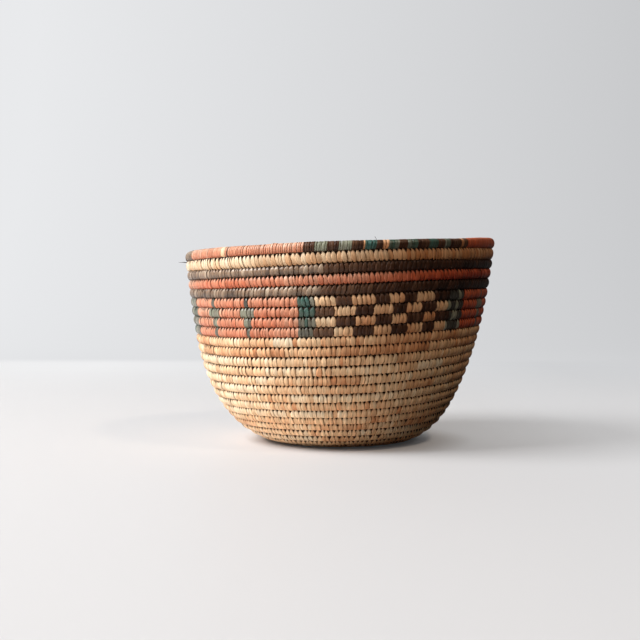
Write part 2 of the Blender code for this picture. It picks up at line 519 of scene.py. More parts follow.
# %% Fibres
LEAF_WIDTH = 0.0031
FIBRE_PITCH = 0.0007  # real fibres are about 0.15 mm apart; drawn coarser, so that they show
FIBRE_STRETCH = 14  # how many times longer than their pitch the fibres' marks are
FIBRE_DETAIL = 3


def fibre_noise(tree, parts):
    """Noise that is squeezed across the strip and drawn out along it."""
    across = add(
        tree,
        "ShaderNodeMath",
        [(0, parts.outputs["X"])],
        [(1, LEAF_WIDTH / 2 / FIBRE_PITCH)],
        operation="MULTIPLY",
    )
    along = add(
        tree,
        "ShaderNodeMath",
        [(0, parts.outputs["Y"])],
        [(1, 1 / (FIBRE_PITCH * FIBRE_STRETCH))],
        operation="MULTIPLY",
    )
    lines = add(
        tree,
        "ShaderNodeCombineXYZ",
        [(0, across.outputs[0]), (1, along.outputs[0]), (2, parts.outputs["Z"])],
    )
    links = [("Vector", lines.outputs[0])]
    return add(tree, "ShaderNodeTexNoise", links, Scale=1, Detail=FIBRE_DETAIL).outputs["Fac"]


print("fibres across a strip:", round(LEAF_WIDTH / FIBRE_PITCH, 1))

# %% Lighter and darker places
NOISE_FROM, NOISE_TO = 0.3, 0.7  # where nearly all of a noise's values lie
BLOTCH_SIZE, BLOTCH_DETAIL = 0.009, 4  # a blotch is about three strips wide
FIBRE_SHADES, BLOTCH_SHADES = (0.62, 1.24), (0.9, 1.08)  # darkest and lightest, times the colour


def shade_of(tree, fibres):
    """The fibres lighten and darken the leaf, and blotches do so less."""
    place = add(tree, "ShaderNodeTexCoord").outputs["Object"]
    links = [("Vector", place)]
    blotches = add(
        tree, "ShaderNodeTexNoise", links, Scale=1 / BLOTCH_SIZE, Detail=BLOTCH_DETAIL
    ).outputs["Fac"]
    shades = []
    for noise, (darkest, lightest) in ((fibres, FIBRE_SHADES), (blotches, BLOTCH_SHADES)):
        shade = add(
            tree,
            "ShaderNodeMapRange",
            [("Value", noise)],
            From_Min=NOISE_FROM,
            From_Max=NOISE_TO,
            To_Min=darkest,
            To_Max=lightest,
        )
        shades.append(shade.outputs[0])
    return add(tree, "ShaderNodeMath", list(enumerate(shades)), operation="MULTIPLY").outputs[0]


print("blotches are", round(BLOTCH_SIZE / LEAF_WIDTH, 1), "strips wide")

# %% Leaf colour
# Painted shade: towards its edges, where it meets its neighbours, each strip's colour is multiplied by this
# brown.
EDGE_SHADE_BROWN = "#BC8A64"  # multiplies the leaf's own colour
EDGE_START, EDGE_SHADE_SHARE = 0.6, 0.4  # from the strip's middle to its edge, and how much at the edge


def leaf_colour(tree, tones, parts, fibres):
    """The ramp's colour at the strip's tone, with its fibres and blotches, and browner towards the strip's
    edges, where neighbouring strips meet: painted shade between the strips.
    """
    tone = add(tree, "ShaderNodeAttribute", attribute_name="tone")
    ramp = add(tree, "ShaderNodeValToRGB", [(0, tone.outputs["Fac"])])
    ends = ramp.color_ramp.elements
    while len(ends) < len(tones):
        ends.new(tones[1][0])
    for element, (place, colour) in zip(ends, tones):
        element.position, element.color = place, linear(colour)
    shaded = add(
        tree,
        "ShaderNodeVectorMath",
        [(0, ramp.outputs["Color"]), ("Scale", shade_of(tree, fibres))],
        operation="SCALE",
    )
    from_middle = add(tree, "ShaderNodeMath", [(0, parts.outputs["X"])], operation="ABSOLUTE")
    edge = add(
        tree,
        "ShaderNodeMapRange",
        [("Value", from_middle.outputs[0])],
        From_Min=EDGE_START,
        To_Max=EDGE_SHADE_SHARE,
    )
    return add(
        tree,
        "ShaderNodeMix",
        [("Factor", edge.outputs[0]), (6, shaded.outputs[0])],
        [(7, linear(EDGE_SHADE_BROWN))],
        data_type="RGBA",
        blend_type="MULTIPLY",
    ).outputs[2]


print("an edge takes", EDGE_SHADE_SHARE, "of the brown", EDGE_SHADE_BROWN)

# %% Leaf material
ROUGHER, SMOOTHER = 0.1, 0.06  # the leaf's roughness between its fibres and on them
FIBRE_RELIEF, RELIEF_STRENGTH = 0.00012, 0.5


def leaf_material(name, tones, roughness, specular):
    """Split leaf. tones are (place on the ramp, hex colour) from the lowest tone to the highest."""
    made, tree, shader = new_material(name)
    shader.inputs["Specular IOR Level"].default_value = specular
    strip = add(tree, "ShaderNodeAttribute", attribute_name="strip")
    parts = add(tree, "ShaderNodeSeparateXYZ", [(0, strip.outputs["Vector"])])
    fibres = fibre_noise(tree, parts)
    tree.links.new(leaf_colour(tree, tones, parts, fibres), shader.inputs["Base Color"])
    gloss = add(
        tree,
        "ShaderNodeMapRange",
        [("Value", fibres)],
        From_Min=NOISE_FROM,
        From_Max=NOISE_TO,
        To_Min=roughness + ROUGHER,
        To_Max=roughness - SMOOTHER,
    )
    tree.links.new(gloss.outputs[0], shader.inputs["Roughness"])
    relief = add(
        tree,
        "ShaderNodeBump",
        [("Height", fibres)],
        Strength=RELIEF_STRENGTH,
        Distance=FIBRE_RELIEF,
    )
    tree.links.new(relief.outputs[0], shader.inputs["Normal"])
    return made


# %% The leaves of this basket
# Each leaf's material name, its colours by tone, its roughness and its specular level. Raw and cream
# leaf is driest, so it is matt, and green leaf keeps most of its wax, so its strips glint. The green
# ramp holds two dyes: a grey olive up to 0.75, and a teal above it.
LEAF_LOOKS = {
    "natural": (
        "raw_split_leaf",
        [
            (0.0, "#E2D5BC"),
            (0.2, "#EEDCBF"),
            (0.45, "#EAC49A"),
            (0.65, "#DDAA7E"),
            (0.82, "#C8875A"),
            (1.0, "#8C5A38"),
        ],
        0.48,
        0.3,
    ),
    "cream": (
        "pale_split_leaf",
        [(0.0, "#EAD8BF"), (0.3, "#DFC3A0"), (0.55, "#D3A276"), (0.8, "#BC7C4C"), (1.0, "#96582F")],
        0.46,
        0.3,
    ),
    "red": (
        "red_dyed_leaf",
        [(0.0, "#9A3A22"), (0.18, "#C85F3C"), (0.45, "#C46C4C"), (0.75, "#D29476"), (1.0, "#E8C4AC")],
        0.4,
        0.25,
    ),
    "brown": (
        "brown_dyed_leaf",
        [(0.0, "#1C0F08"), (0.3, "#44291B"), (0.6, "#664936"), (0.8, "#8A715B"), (1.0, "#B39C82")],
        0.38,
        0.22,
    ),
    "taupe": (
        "grey_brown_dyed_leaf",
        [(0.0, "#443022"), (0.45, "#8A705A"), (1.0, "#CDBAA2")],
        0.36,
        0.5,
    ),
    "green": (
        "green_dyed_leaf",
        [
            (0.0, "#1F1F19"),
            (0.3, "#46433A"),
            (0.5, "#7A7767"),
            (0.62, "#868A76"),
            (0.75, "#A09E90"),
            (0.88, "#445243"),
            (1.0, "#3A6660"),
        ],
        0.34,
        0.45,
    ),
}
LEAVES = {kind: leaf_material(*look) for kind, look in LEAF_LOOKS.items()}
print("leaf materials:", ", ".join(m.name for m in LEAVES.values()))

# %% [markdown]
# ## Where each stitch goes
#
# A basket maker pushes each new strip through the row below beside one of its stitches. So the
# stitches of neighbouring rows nearly line up, until the growing turns need one more. Copies at even
# angles would miss that drift. This function walks along the coil with an almost even step and,
# where a stitch of the row below is near, is drawn part of the way over to it.

# %% Stitch places
FIRST_FOOT = 0.03  # turns
TIGHT_STITCH, OPEN_STITCH = 0.0027, 0.0031  # the step at the base and at the top
STEP_SPREAD = 0.08  # how unevenly a hand steps, as a share of the step
LEAST_TURN_RADIUS = 0.004  # nearer the middle the stitches fan out instead of getting closer
NEAR_ENOUGH, DRAWN_IN = 0.35, 0.6  # of a step, and how much of the way to the stitch below
SPLIT_SHARE, SPLIT_APART = 0.05, 0.25  # some stitches are two thin strips side by side
RANDOM_SEED = 20

random = np.random.default_rng(RANDOM_SEED)


def stitch_step(turn):
    """The even step at one place, in turns."""
    radius = max(float(on_route(turn)[0]), LEAST_TURN_RADIUS)
    size = TIGHT_STITCH + (OPEN_STITCH - TIGHT_STITCH) * turn / TURNS
    return size / (math.tau * radius)


def stitch_feet(end):
    """Where each stitch is sewn in, in turns from the coil's start."""
    feet = [FIRST_FOOT]
    below = 0
    while feet[-1] < end:
        even = stitch_step(feet[-1])
        aim = feet[-1] + even * random.normal(1, STEP_SPREAD)
        while below + 1 < len(feet) and (feet[below] + feet[below + 1]) / 2 + 1 < aim:
            below += 1
        tops = [feet[i] + 1 for i in (below, below + 1) if 0 < i < len(feet)]
        nearest = min(tops, key=lambda top: abs(top - aim), default=aim)
        drawn = DRAWN_IN if abs(nearest - aim) < NEAR_ENOUGH * even else 0
        feet.append(aim + drawn * (nearest - aim))
    feet = np.array(feet[:-1])
    split = random.uniform(0, 1, len(feet)) < SPLIT_SHARE
    apart = np.array([stitch_step(foot) for foot in feet]) * SPLIT_APART
    return np.sort(np.append(feet - split * apart, (feet + apart)[split]))


print("stitches that fit in the top row:", round(1 / stitch_step(TURNS)))

# %% Changes of colour
RIM_STITCH, RIM_SPREAD = 0.0015, 0.1  # metres, and how unevenly they lie, in stitches


def turn_at(row, degrees):
    """The coil's turn at an angle in one row, counted from the rim down."""
    return TURNS - row + ((degrees - SEAM_DEGREES) % 360) / 360


def snapped(feet, changes):
    """Shifts the stitches a little, so that one ends at each place where the colour changes."""
    ends = (feet[1:] + feet[:-1]) / 2
    nearest, first = np.unique([np.abs(ends - place).argmin() for place in changes], return_index=True)
    found, aims = ends[nearest], np.array(changes)[first]
    return np.interp(feet, [feet[0] - 1, *found, feet[-1] + 1], [feet[0] - 1, *aims, feet[-1] + 1])


def rim_feet(changes):
    """The rim is bound over and over, closer than it is sewn, with each colour for its length."""
    feet = []
    for start, end in zip(changes, changes[1:]):
        width = RIM_STITCH / (math.tau * float(on_route(start)[0]))
        count = max(round((end - start) / width), 1)
        even = start + (np.arange(count) + 0.5) / count * (end - start)
        feet.extend(even + random.normal(0, RIM_SPREAD, count) * width * (count > 1))
    return np.array(feet)


print("the front of the rim is at turn", round(turn_at(1, 0), 3), "of", TURNS)

# %% [markdown]
# ## The pattern
#
# The band under the stripes has a red block and a checked block in turn, three of each. It could be
# drawn by a texture, but on the real basket a colour can only change from one stitch to the next, so
# the pattern is decided stitch by stitch from its row and its angle. Rows are counted from the rim
# down, as the eye finds them: the rim, four stripes, four rows of band, and then natural rows.

# %% Pattern in rows and degrees
RIM_ROW = 1
LAST_STRIPE = RIM_ROWS + STRIPE_ROWS
LAST_BAND = LAST_STRIPE + BAND_ROWS
REPEAT, CHECKED_WIDTH, CHECKED_START = 120, 66.5, -14.2
# Where the colour changes in a checked block, in degrees from its start: green, then checks in turn
# that start brown or natural, then green.
CHECK_EDGES = {
    6: (6.1, 13.7, 19.4, 27.2, 32.5, 38.2, 42.9, 50.7, 58.3),
    7: (5.9, 12.7, 20.1, 26.7, 33.5, 39.3, 45.0, 51.4, 57.3),
    8: (6.5, 13.6, 20.3, 27.6, 33.6, 39.6, 46.7, 51.7, 59.0),
    9: (5.8, 12.9, 20.0, 27.4, 34.1, 40.0, 47.0, 52.0, 57.9),
}
NATURAL_FIRST = (6, 8)
GREEN_EDGE = (-90, -71)  # degrees: the left block's last green is wider
# Two small crosses divide a red block into thirds. They are one stitch wide in their first and last
# row, and in the others have these half widths, all in degrees.
CROSSES = (81.3, 99.4)  # from the start of the checked block before them
CROSS_HALF_WIDTHS = {7: 3.3, 8: 1.6}
CROSS_ENDS, ONE_STITCH = (6, 9), 1.56
# The rim over a checked block: where each colour ends, in degrees from the block's start.
RIM_COLOURS = (
    ("red", 1.9), ("brown", 5.6), ("green", 9.7), ("brown", 13.6), ("green", 17.9),
    ("brown", 21.7), ("natural", 22.4), ("green", 26.2), ("brown", 28.3), ("natural", 30.2),
    ("green", 34.0), ("brown", 37.3), ("green", 41.0), ("brown", 45.3), ("green", 49.1),
    ("brown", 52.2), ("green", 54.7), ("brown", 60.4), ("natural", 61.9), ("brown", 64.0),
)  # fmt: skip
# Short lengths of other leaf in the rim, from and to degrees.
RIM_MENDS = (
    ("taupe", -90, -67.2),
    ("natural", -45.2, -43.2),
    ("brown", -42.3, -41.6),
    ("brown", 169, 172),
)
TAUPE_END = -6  # degrees

print("rows of the band:", *CHECK_EDGES, "with a repeat of", REPEAT, "degrees")


# %% Leaf of one stitch
def band_kind(row, degrees):
    """The leaf of one stitch in the band."""
    into = (degrees - CHECKED_START) % REPEAT
    if GREEN_EDGE[0] < degrees < GREEN_EDGE[1]:
        return "green"
    if into > CHECKED_WIDTH:
        crossed = any(abs(into - middle) < CROSS_HALF_WIDTHS.get(row, 0) for middle in CROSSES)
        return "green" if crossed else "red"
    edges = CHECK_EDGES[row]
    check = sum(into > edge for edge in edges)
    if check in (0, len(edges)):
        return "green"
    return "natural" if (check % 2 == 1) == (row in NATURAL_FIRST) else "brown"


def rim_kind(degrees):
    """The leaf of one stitch in the rim."""
    for kind, start, end in RIM_MENDS:
        if start < degrees < end:
            return kind
    into = (degrees - CHECKED_START) % REPEAT
    return next((kind for kind, end in RIM_COLOURS if into < end), "red")


def stripe_kind(row, degrees):
    """The brown stripes start in a paler, greyer dye and change to the dark one at the front."""
    dark = "taupe" if degrees < TAUPE_END else "brown"
    return {2: "cream", 3: dark, 4: "red", 5: dark}.get(row)


print("leaf at the front, from the rim down:", rim_kind(0), *(stripe_kind(row, 0) for row in (2, 3, 4, 5)))


# %% Leaf of all stitches
def block_starts():
    """Where the three checked blocks start, in degrees."""
    return [CHECKED_START + REPEAT * i for i in (-1, 0, 1)]


def kinds_of(feet, rows):
    """The kind of leaf of every stitch."""
    degrees = angle_of(feet)
    found = []
    for row, angle in zip(rows, degrees):
        if row > LAST_BAND:
            found.append("natural")
        elif row > LAST_STRIPE:
            found.append(band_kind(row, angle))
        else:
            found.append(stripe_kind(row, angle) or rim_kind(angle))
    found = np.array(found)
    for row in CROSS_ENDS:
        for place in (start + middle for start in block_starts() for middle in CROSSES):
            away = np.abs((degrees - place + 180) % 360 - 180) + np.where(rows == row, 0, 360)
            if away.min() < ONE_STITCH:
                found[away.argmin()] = "green"
    return found


# %% Stitches that end where a colour does
def band_edges(row):
    """Where the colour changes in one band row, in degrees from the start of a checked block."""
    half = CROSS_HALF_WIDTHS.get(row, ONE_STITCH / 2)
    crosses = [middle + side for middle in CROSSES for side in (-half, half)]
    return 0, *CHECK_EDGES[row], CHECKED_WIDTH, *crosses


band_changes = sorted(
    turn_at(row, start + place)
    for row in CHECK_EDGES
    for start in block_starts()
    for place in band_edges(row)
)
rim_changes = [start + place for start in block_starts() for _, place in RIM_COLOURS]
rim_changes += [place for _, *ends in RIM_MENDS for place in ends]
rim_turns = [turn_at(RIM_ROW, degrees) for degrees in rim_changes]
wall_feet = snapped(stitch_feet(TURNS - RIM_ROWS), band_changes)
top_feet = rim_feet(sorted([TURNS - RIM_ROWS, *rim_turns, TURNS]))
print(len(wall_feet), "stitches on the wall and base,", len(top_feet), "round the rim")

# %% [markdown]
# ## One stitch
#
# A stitch is a closed loop of leaf round the coil. Seen from outside it is leaf shaped: a narrow foot
# where it dives into the row below, a full lower half that meets its neighbours, and a pointed top,
# where the next row is sewn in on both sides of it. It is crowned across, because the strip dries
# curled round the grass. A flat ribbon with a normal map would lose that at the outline. All stitches
# of one colour in one row are one mesh, which keeps the number of pieces sensible.

# %% Stitch outline
LOOP_POINTS = 24
LOOP = np.linspace(0, math.tau, LOOP_POINTS, endpoint=False) - math.pi / 2  # from the foot, outwards
NARROWING = 1.2  # 1 is a straight taper, more is a fuller one
FOOT_START = 0.45  # how far down the narrowing to the foot starts: 1 is the foot itself
ROUNDNESS = 0.95  # 1 is an ellipse, less is squarer


def leaf_width(look, shoulder):
    """Each strip's width round its loop as a share of its full width: 90 degrees is the top, and
    shoulder is where the narrowing towards it starts."""
    up, shoulder = np.sin(LOOP)[None, :], shoulder[:, None]
    top = np.clip((up - shoulder) / (1 - shoulder), 0, 1) ** NARROWING
    foot = np.clip((-up - FOOT_START) / (1 - FOOT_START), 0, 1) ** NARROWING
    return 1 - (1 - look["top"]) * top - (1 - look["foot"]) * foot


def rounded(share):
    """A sine or cosine, made a little squarer."""
    return np.sign(share) * np.abs(share) ** ROUNDNESS


print("a loop has a point every", 360 / LOOP_POINTS, "degrees")

# %% Lines between the top rows
# The line over the rim is 0, the one under it 1 and so on: degrees, and how many mm up it has moved.
MOVED_LINES = {
    0: (
        [-180, -110, -68, -45, -27, -24, -22.5, -21, -8, 3, 15, 45, 60, 75, 110, 180],
        [-0.4, 0.4, 1.0, 0.9, 0.3, 0.3, 0.9, 0.3, 0.2, -0.3, -0.8, -0.9, 0, 0.4, 0, -0.4],
    ),
    1: ([-180, -90, -50, 0, 15, 30, 180], [0.3, 0.6, 0.9, 0.7, 0.4, 0.1, 0.3]),
    2: ([-180, -60, -40, -15, 0, 15, 50, 180], [-0.3, -0.3, -0.7, -0.7, 0, 0, -0.9, -0.3]),
}


def moved_lines(turn, up):
    """How far across the row a point moves, because the lines over and under the top rows have."""
    angle, row = angle_of(turn), np.floor(TURNS - turn) + 1
    moved = np.zeros(np.broadcast(turn, up).shape)
    for line, table in MOVED_LINES.items():
        far = np.interp(angle, *table)
        moved = moved + np.where(row == line + 1, far * np.clip(up, 0, 1), 0)
        moved = moved + np.where(row == line, far * np.clip(-up, 0, 1), 0)
    return moved * MM


print("the line over the rim has moved in mm from", min(MOVED_LINES[0][1]), "to", max(MOVED_LINES[0][1]))

# %% Two ways to stitch
# In metres: how far a loop reaches over the coil's middle and under it, how proud the middle of the
# strip is (crown), how unevenly strips lie and how much they tilt. As shares of the full width: top,
# foot, full (over 1, so that neighbours overlap), how far aside the crown's ridge may be (skew) and
# how ragged the edges are. The shoulder is by turns.
WALL_LOOK = {
    "reach_up": 0.0038,
    "reach_down": 0.0038,
    "crown": 0.0003,
    "uneven": 0.00007,
    "tilt": 0.0,
    "top": 0.12,
    "foot": 0.35,
    "full": 1.27,
    "skew": 0.35,
    "ragged": 0.05,
    "shoulder": (
        [9, 12, 15, 20, 23, 27, 28, 29],
        [0.5, 0.4, 0.33, 0.28, 0.24, 0.16, 0.16, 0.26],
    ),
}
RIM_LOOK = {
    "reach_up": 0.0035,
    "reach_down": 0.0037,
    "crown": 0.00012,
    "uneven": 0.00003,
    "tilt": 0.00005,
    "top": 1.0,
    "foot": 0.85,
    "full": 1.3,
    "skew": 0.2,
    "ragged": 0.02,
    "shoulder": ([0, 1], [0.3, 0.3]),
}
for look in (WALL_LOOK, RIM_LOOK):
    print("a loop reaches up by", look["reach_up"], "m, and its top is", look["top"], "of its width")

# %% Points of the stitches
HALF_THICK = 0.0032
EDGE_LIFT = 0.00005
ACROSS_STRIP = np.array([-1, -0.55, 0, 0.55, 1])
SHOULDER_SPREAD = 0.06
CROWN_MIDDLE, CROWN_GAIN = 0.65, 0.35  # the crown's share halfway up, and its gain from there to the top


def stitch_points(feet, left, right, lean, look):
    """Closed strips round the coil, as an array over stitches, then round the loop, then across the
    strip. left and right are half widths in turns, and lean is how far each top is shifted, in
    turns. look holds the sizes and shares."""
    count = len(feet)
    each = (count, 1, 1)
    shoulder = np.interp(feet, *look["shoulder"]) + random.normal(0, SHOULDER_SPREAD, count)
    width = leaf_width(look, shoulder)[:, :, None]
    width = look["full"] * width * random.normal(1, look["ragged"], (count, LOOP_POINTS, 1))
    proud = random.normal(0, look["uneven"], each)
    tilt = random.normal(look["tilt"], look["uneven"], each)
    ridge = random.uniform(-look["skew"], look["skew"], each)
    up, outward = np.sin(LOOP)[None, :, None], np.cos(LOOP)[None, :, None]
    side = ACROSS_STRIP[None, None, :]
    half = np.where(side < 0, left[:, None, None], right[:, None, None])
    turn = feet[:, None, None] + lean[:, None, None] * (up + 1) / 2 + side * half * width
    crowned = 1 - ((side - ridge) / (1 + np.abs(ridge))) ** 2
    crown = look["crown"] * crowned * (CROWN_MIDDLE + CROWN_GAIN * up)
    lift = EDGE_LIFT + crown + proud + tilt * side
    reach = np.where(up > 0, look["reach_up"], look["reach_down"])
    across = (reach + lift) * rounded(up) + moved_lines(turn, up)
    out = (HALF_THICK + lift) * rounded(outward)
    return coil_points(turn, across, out)


print("points in one stitch:", LOOP_POINTS * len(ACROSS_STRIP))

# %% Meshes of stitches
HALF_ROW = 0.0035  # the bound coil, across the row: it touches its neighbours
LOOP_RADIUS = (HALF_ROW + HALF_THICK) / 2
FIBRE_PLACES = 50  # each strip takes its fibres from a place of its own in the noise: 0 to this


def squares(count):
    """For every face: its stitch, its place round the loop and its place across the strip."""
    sizes = (count, LOOP_POINTS, len(ACROSS_STRIP))
    return np.meshgrid(*(np.arange(size) for size in sizes), indexing="ij")


def carry(mesh, name, values, kind="FLOAT", field="value"):
    """Gives each point of a mesh a value of its own, for the material to read."""
    mesh.attributes.new(name, kind, "POINT").data.foreach_set(field, np.ravel(values))


def stitch_mesh(name, points, tones, light_rise):
    """One mesh of all strips. rise is how a tone changes from the middle of a strip to its top, and the
    other way at its foot: painted light and shade.
    """
    stitch, i, j = squares(len(points))
    ring, wide = points.shape[1:3]
    here = (stitch * ring + i) * wide
    after = (stitch * ring + (i + 1) % ring) * wide
    j_after = (j + 1) % wide
    faces = np.stack([here + j, after + j, after + j_after, here + j_after], axis=-1)
    mesh = bpy.data.meshes.new(name)
    mesh.from_pydata(points.reshape(-1, 3).tolist(), [], faces.reshape(-1, 4).tolist())
    mesh.shade_smooth()
    place = np.empty(points.shape)
    place[..., 0] = ACROSS_STRIP
    place[..., 1] = ((LOOP + math.pi / 2) * LOOP_RADIUS)[None, :, None]
    place[..., 2] = random.uniform(0, FIBRE_PLACES, (len(points), 1, 1))
    carry(mesh, "strip", place, "FLOAT_VECTOR", "vector")
    up = np.sin(LOOP)[None, :, None]
    # Painted light and shade: the tone follows the height round the loop.
    carry(mesh, "tone", np.clip(tones[:, None, None] + light_rise * up + np.zeros(wide), 0, 1))
    return mesh


print("leaf in one loop:", round(math.tau * LOOP_RADIUS / MM), "mm")

# %% Map for baking
MAP_MARGIN, MAP_STRETCH = 0.04, 4  # round each rectangle, and how many more columns than rows


def bake_map(mesh, count):
    """A map with one small rectangle for each strip, for whoever bakes the colours."""
    columns = math.ceil(math.sqrt(count * MAP_STRETCH))
    rows = math.ceil(count / columns)
    stitch, i, j = (indices[..., None] for indices in squares(count))
    along = np.concatenate([i, i + 1, i + 1, i], axis=-1) / LOOP_POINTS
    across = np.concatenate([j, j, j + 1, j + 1], axis=-1) / len(ACROSS_STRIP)
    u = (stitch % columns + MAP_MARGIN + (1 - 2 * MAP_MARGIN) * across) / columns
    v = (stitch // columns + MAP_MARGIN + (1 - 2 * MAP_MARGIN) * along) / rows
    layer = mesh.uv_layers.new(name="OFBake")
    layer.data.foreach_set("uv", np.stack([u, v], axis=-1).ravel())


print(f"each strip's rectangle leaves {MAP_MARGIN:.0%} free on all sides")

# %% Slant
# How far each stitch's top is shifted along the coil, in metres, by row. Further down the slant drifts.
ROW_SLANT = {1: 0.0008, 2: -0.0017, 3: 0.0004, 4: -0.001, 5: 0.002, 6: 0.0004, 7: 0.0006, 9: 0.0006}
CHECK_SLANT = {6: -0.0014, 7: 0.0003, 8: 0, 9: -0.0002}
WALL_SLANT, SLANT_DRIFT, SLANT_SPREAD = 0.0003, 0.0016, 0.0003
SLANT_CHANGES, SLANT_SEED = 13, 5


def drifting(feet, changes, seed):
    """Slow random change along the coil, as one batch of leaf follows another: 0 to 1. changes are
    per turn."""
    places = np.arange(0, TURNS * changes + 2)
    values = np.random.default_rng(seed).uniform(0, 1, len(places))
    return np.interp(feet * changes, places, values)


def lean_of(feet, rows):
    """How far each top is shifted along the coil, in turns."""
    radius = np.maximum(on_route(feet)[0], LEAST_TURN_RADIUS)
    slant = np.array([ROW_SLANT.get(row, WALL_SLANT) for row in rows])
    checked = (angle_of(feet) - CHECKED_START) % REPEAT < CHECKED_WIDTH
    for row, far in CHECK_SLANT.items():
        slant = np.where((rows == row) & checked, far, slant)
    drift = SLANT_DRIFT * (drifting(feet, SLANT_CHANGES, SLANT_SEED) - 0.5)
    slant = slant + np.where(rows > LAST_BAND, drift, 0)
    return (slant + random.normal(0, SLANT_SPREAD, len(feet))) / (math.tau * radius)


print("slants by row in mm:", {row: round(far / MM, 1) for row, far in ROW_SLANT.items()})

# %% [markdown]
# ## Tones
#
# Each stitch's tone is its place on its leaf's colour ramp. It changes slowly with the batch of leaf,
# then from strip to strip (one strip sews several stitches), and a little from stitch to stitch.
# On the left, where the window lights the basket, the tones are painted paler, and on the shaded right
# deeper: painted light and shade. One noise for all of that would look like dirt, so each cause is a number
# of its own, and short tables give the large changes.

# %% What tones depend on
LIT_SIDE = -70  # degrees: the side that the window lights; tones are painted paler towards it
BATCH_CHANGES, BATCH_SEED = 9, 3
STRIP_SEWS = (4, 16)  # stitches before its strip of leaf is used up
# How much a tone changes with the batch, with the strip and from stitch to stitch.
VARIES = {
    "natural": (0.2, 0.13, 0.06),
    "natural check": (0, 0.05, 0.05),
    "cream": (0, 0.09, 0.07),
    "red": (0.05, 0.05, 0.04),
    "brown": (0, 0.05, 0.07),
    "taupe": (0, 0.12, 0.14),
    "shaded green": (0, 0.1, 0.04),
    "cross": (0, 0, 0.05),
    "red rim": (0, 0, 0.035),
}
PLAINLY = (0, 0, 0.04)  # all others


def one_strip_each(count):
    """A random number from -1 to 1 that stays the same for as many stitches as one strip sews."""
    values = random.uniform(-1, 1, count)
    return np.repeat(values, random.integers(*STRIP_SEWS, count))[:count]


print("the tone that varies most:", max(VARIES, key=lambda what: sum(VARIES[what])))


# %% All stitches at once
class Stitches:
    """Arrays over stitches: where they are, and what chance gives them."""

    def __init__(self, feet, rows):
        self.rows, self.degrees = rows, angle_of(feet)
        # How much painted light a stitch gets: 1 facing the window, -1 on the far side.
        self.painted_light = np.cos(np.radians(self.degrees - LIT_SIDE))
        self.batch = drifting(feet, BATCH_CHANGES, BATCH_SEED) - 0.5
        self.strip = one_strip_each(len(feet))
        self.stitch = random.normal(0, 1, len(feet))
        self.odd = random.uniform(0, 1, len(feet))

    def varied(self, what):
        """How far each tone is from the even one."""
        by_batch, by_strip, by_stitch = VARIES.get(what, PLAINLY)
        return by_batch * self.batch + by_strip * self.strip + by_stitch * self.stitch

    def round_basket(self, table):
        """Reads a table of (degrees, values)."""
        return np.interp(self.degrees, *table)

    def among(self, places):
        """Whether each stitch is at one of the places: {row: (from degrees, to degrees)}."""
        found = [
            (self.rows == row) & (self.degrees > start) & (self.degrees < end)
            for row, (start, end) in places.items()
        ]
        return np.any(found, axis=0)


# %% Tones of raw leaf
# From here on, tables are (degrees, tones) unless their names say otherwise.
# Raw and cream leaf is painted paler on the side that the window lights, in some rows more: painted light.
NATURAL, NATURAL_LIT_PALER, PALEST = 0.55, 0.02, 0.33
NATURAL_BY_ROW = ([9, 10.5, 12, 15, 18, 20, 22], [0.08, 0.06, -0.04, -0.03, 0, 0.03, -0.02])
NATURAL_BY_DEGREES = ([-20, 5, 30, 90, 180], [0, 0.07, 0.05, 0.03, 0])
ROWS_LIT_PALER = ([11, 13, 18, 20], [0, 0.12, 0.12, 0])
ODD_SHARE, DARKER, PALER = 0.015, 0.22, 0.15  # this share of stitches is darker, and as many paler
# The raw leaf in the rim and the checks is darker towards the shaded right; part of that is painted shade.
NATURAL_RIM = ([-60, 0, 45], [0.34, 0.7, 0.85])
NATURAL_CHECKS = ([-10, 4, 12, 26, 45], [0.44, 0.5, 0.68, 0.68, 0.6])
CREAM, CREAM_LIT_PALER = 0.57, 0.32
CREAM_BY_DEGREES = ([0, 30, 48, 90, 150], [0, 0.08, -0.05, -0.05, 0])
# Stitches that stand out: their places, their tone and how much they vary.
STANDING_OUT = (
    ({11: (-24.6, -19.4), 13: (-6.9, -5.5)}, 0.76, 0.04),
    ({10: (-23.8, -16.6), 13: (33.3, 47.7)}, 0.3, 0.05),
    ({8: (5.9, 13.6)}, 0.74, 0.04),
    ({8: (19, 26)}, 0.66, 0.04),
    ({8: (32.3, 37.7)}, 0.8, 0.04),
)


def natural_tones(at):
    """Raw leaf, with odd strips, checks and rim stitches that are often another batch."""
    # Painted light: paler towards the lit side.
    tone = NATURAL + at.varied("natural") - NATURAL_LIT_PALER * at.painted_light
    tone = tone - np.interp(at.rows, *ROWS_LIT_PALER) * np.clip(at.painted_light, 0, 1)
    tone = tone + np.interp(at.rows, *NATURAL_BY_ROW) + at.round_basket(NATURAL_BY_DEGREES)
    rim = at.round_basket(NATURAL_RIM) + at.varied("natural rim")
    tone = np.where(at.rows == RIM_ROW, rim, tone)
    tone = tone + np.where(at.odd < ODD_SHARE, DARKER, 0) - np.where(at.odd > 1 - ODD_SHARE, PALER, 0)
    tone = np.maximum(tone, PALEST)
    check = at.round_basket(NATURAL_CHECKS) + at.varied("natural check")
    tone = np.where((at.rows > LAST_STRIPE) & (at.rows <= LAST_BAND), check, tone)
    for places, special, uneven in STANDING_OUT:
        tone = np.where(at.among(places), special + uneven * at.stitch, tone)
    return tone


def cream_tones(at):
    """The cream stripe, painted darker away from the lit side: painted shade."""
    return CREAM - CREAM_LIT_PALER * at.painted_light + at.round_basket(CREAM_BY_DEGREES) + at.varied("cream")


print("places that stand out:", sum(len(places) for places, *_ in STANDING_OUT))

